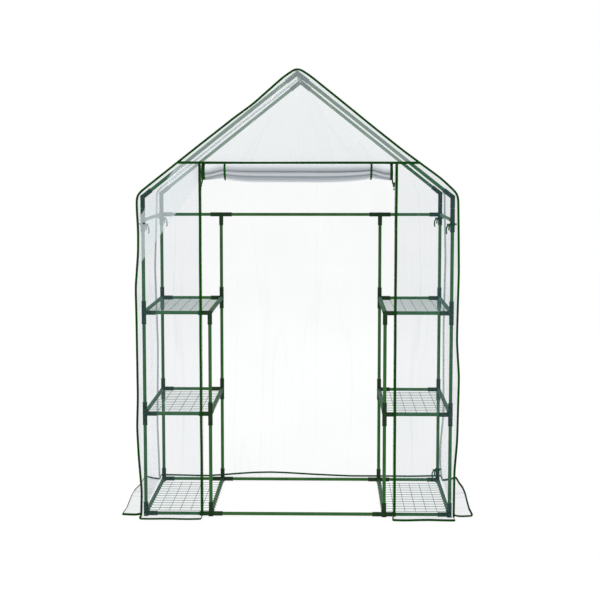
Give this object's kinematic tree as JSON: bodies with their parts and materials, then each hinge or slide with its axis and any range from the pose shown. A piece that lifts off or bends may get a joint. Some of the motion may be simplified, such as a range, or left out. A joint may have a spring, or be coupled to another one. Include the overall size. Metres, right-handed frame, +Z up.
{
  "type": "walk-in garden greenhouse",
  "caption": "Small walk-in greenhouse: push-fit steel tube frame, wire shelves and a clear film cover with a zipped roll-up door.",
  "frame": {"origin": "centre of the footprint, on the ground", "axes": "+X to the right as seen from the door, +Y to the back, +Z up; the door faces -Y"},
  "size_m": [1.64, 0.89, 2.062],
  "materials": {
    "tube_paint": "satin",
    "connector_plastic": "satin",
    "shelf_wire": "satin",
    "clear_film": "gloss",
    "binding_tape": "matte",
    "zip_tape": "matte",
    "zip_plastic": "satin",
    "door_film": "satin",
    "ribbon": "matte"
  },
  "bodies": {
    "frame_and_cover": {"apex_connectors": "connector_plastic", "back_cross_rail": "tube_paint", "back_skirt": "clear_film", "base_corner_connectors": "connector_plastic", "base_middle_rails": "tube_paint", "base_tee_connectors": "connector_plastic", "corner_post_back_left": "tube_paint", "corner_post_back_right": "tube_paint", "corner_post_front_left": "tube_paint", "corner_post_front_right": "tube_paint", "cross_rail_tees": "connector_plastic", "door_sheet": "door_film", "door_ties": "ribbon", "eave_elbows": "connector_plastic", "eave_rail_connectors": "connector_plastic", "eave_side_rail_left": "tube_paint", "eave_side_rail_right": "tube_paint", "film_front_left": "clear_film", "film_front_right": "clear_film", "film_gable_front": "clear_film", "film_roof_left": "clear_film", "film_roof_right": "clear_film", "film_wall_back": "clear_film", "film_wall_left": "clear_film", "film_wall_right": "clear_film", "frame_ties": "ribbon", "front_skirts": "clear_film", "header_binding": "binding_tape", "inner_posts_back": "tube_paint", "inner_posts_front": "tube_paint", "rafters_left": "tube_paint", "rafters_right": "tube_paint", "ridge_pole": "tube_paint", "seam_binding_back": "binding_tape", "seam_binding_front": "binding_tape", "shelf_corner_connectors": "connector_plastic", "shelf_inner_connectors": "connector_plastic", "shelf_rails_back_left": "tube_paint", "shelf_rails_back_right": "tube_paint", "shelf_rails_front_left": "tube_paint", "shelf_rails_front_right": "tube_paint", "side_rails_left": "tube_paint", "side_rails_right": "tube_paint", "side_skirt_left": "clear_film", "side_skirt_right": "clear_film", "skirt_bindings": "binding_tape", "zip_tapes": "zip_tape"},
    "ground_shelf_left_body": {"ground_shelf_left": "shelf_wire"},
    "ground_shelf_right_body": {"ground_shelf_right": "shelf_wire"},
    "lower_shelf_left_body": {"lower_shelf_left": "shelf_wire"},
    "lower_shelf_right_body": {"lower_shelf_right": "shelf_wire"},
    "upper_shelf_left_body": {"upper_shelf_left": "shelf_wire"},
    "upper_shelf_right_body": {"upper_shelf_right": "shelf_wire"},
    "door_roll_body": {"door_roll": "door_film", "door_edge_bindings": "binding_tape"},
    "zip_slider_left_body": {"zip_slider_left": "zip_plastic"},
    "zip_pull_left_body": {"zip_pull_left": "zip_plastic"},
    "zip_slider_right_body": {"zip_slider_right": "zip_plastic"},
    "zip_pull_right_body": {"zip_pull_right": "zip_plastic"}
  },
  "joints": [
    {"name": "ground_shelf_left_lift", "type": "slide", "parent": "frame_and_cover", "child": "ground_shelf_left_body", "axis": [0, 0, 1], "range_m": [0, 0.4]},
    {"name": "ground_shelf_right_lift", "type": "slide", "parent": "frame_and_cover", "child": "ground_shelf_right_body", "axis": [0, 0, 1], "range_m": [0, 0.4]},
    {"name": "lower_shelf_left_lift", "type": "slide", "parent": "frame_and_cover", "child": "lower_shelf_left_body", "axis": [0, 0, 1], "range_m": [0, 0.4]},
    {"name": "lower_shelf_right_lift", "type": "slide", "parent": "frame_and_cover", "child": "lower_shelf_right_body", "axis": [0, 0, 1], "range_m": [0, 0.4]},
    {"name": "upper_shelf_left_lift", "type": "slide", "parent": "frame_and_cover", "child": "upper_shelf_left_body", "axis": [0, 0, 1], "range_m": [0, 0.4]},
    {"name": "upper_shelf_right_lift", "type": "slide", "parent": "frame_and_cover", "child": "upper_shelf_right_body", "axis": [0, 0, 1], "range_m": [0, 0.4]},
    {"name": "door_unroll", "type": "slide", "parent": "frame_and_cover", "child": "door_roll_body", "axis": [0, 0, -1], "range_m": [0, 1.53], "deforming": ["door_sheet", "door_ties"]},
    {"name": "zip_left_slide", "type": "slide", "parent": "frame_and_cover", "child": "zip_slider_left_body", "axis": [0, 0, -1], "range_m": [0, 1.5]},
    {"name": "zip_left_pull_swing", "type": "hinge", "parent": "zip_slider_left_body", "child": "zip_pull_left_body", "pos_m": [-0.4375, -0.3777, 1.543], "axis": [1, 0, 0], "range_deg": [-160, 0]},
    {"name": "zip_right_slide", "type": "slide", "parent": "frame_and_cover", "child": "zip_slider_right_body", "axis": [0, 0, -1], "range_m": [0, 1.5]},
    {"name": "zip_right_pull_swing", "type": "hinge", "parent": "zip_slider_right_body", "child": "zip_pull_right_body", "pos_m": [0.4375, -0.3777, 1.543], "axis": [1, 0, 0], "range_deg": [-160, 0]}
  ]
}
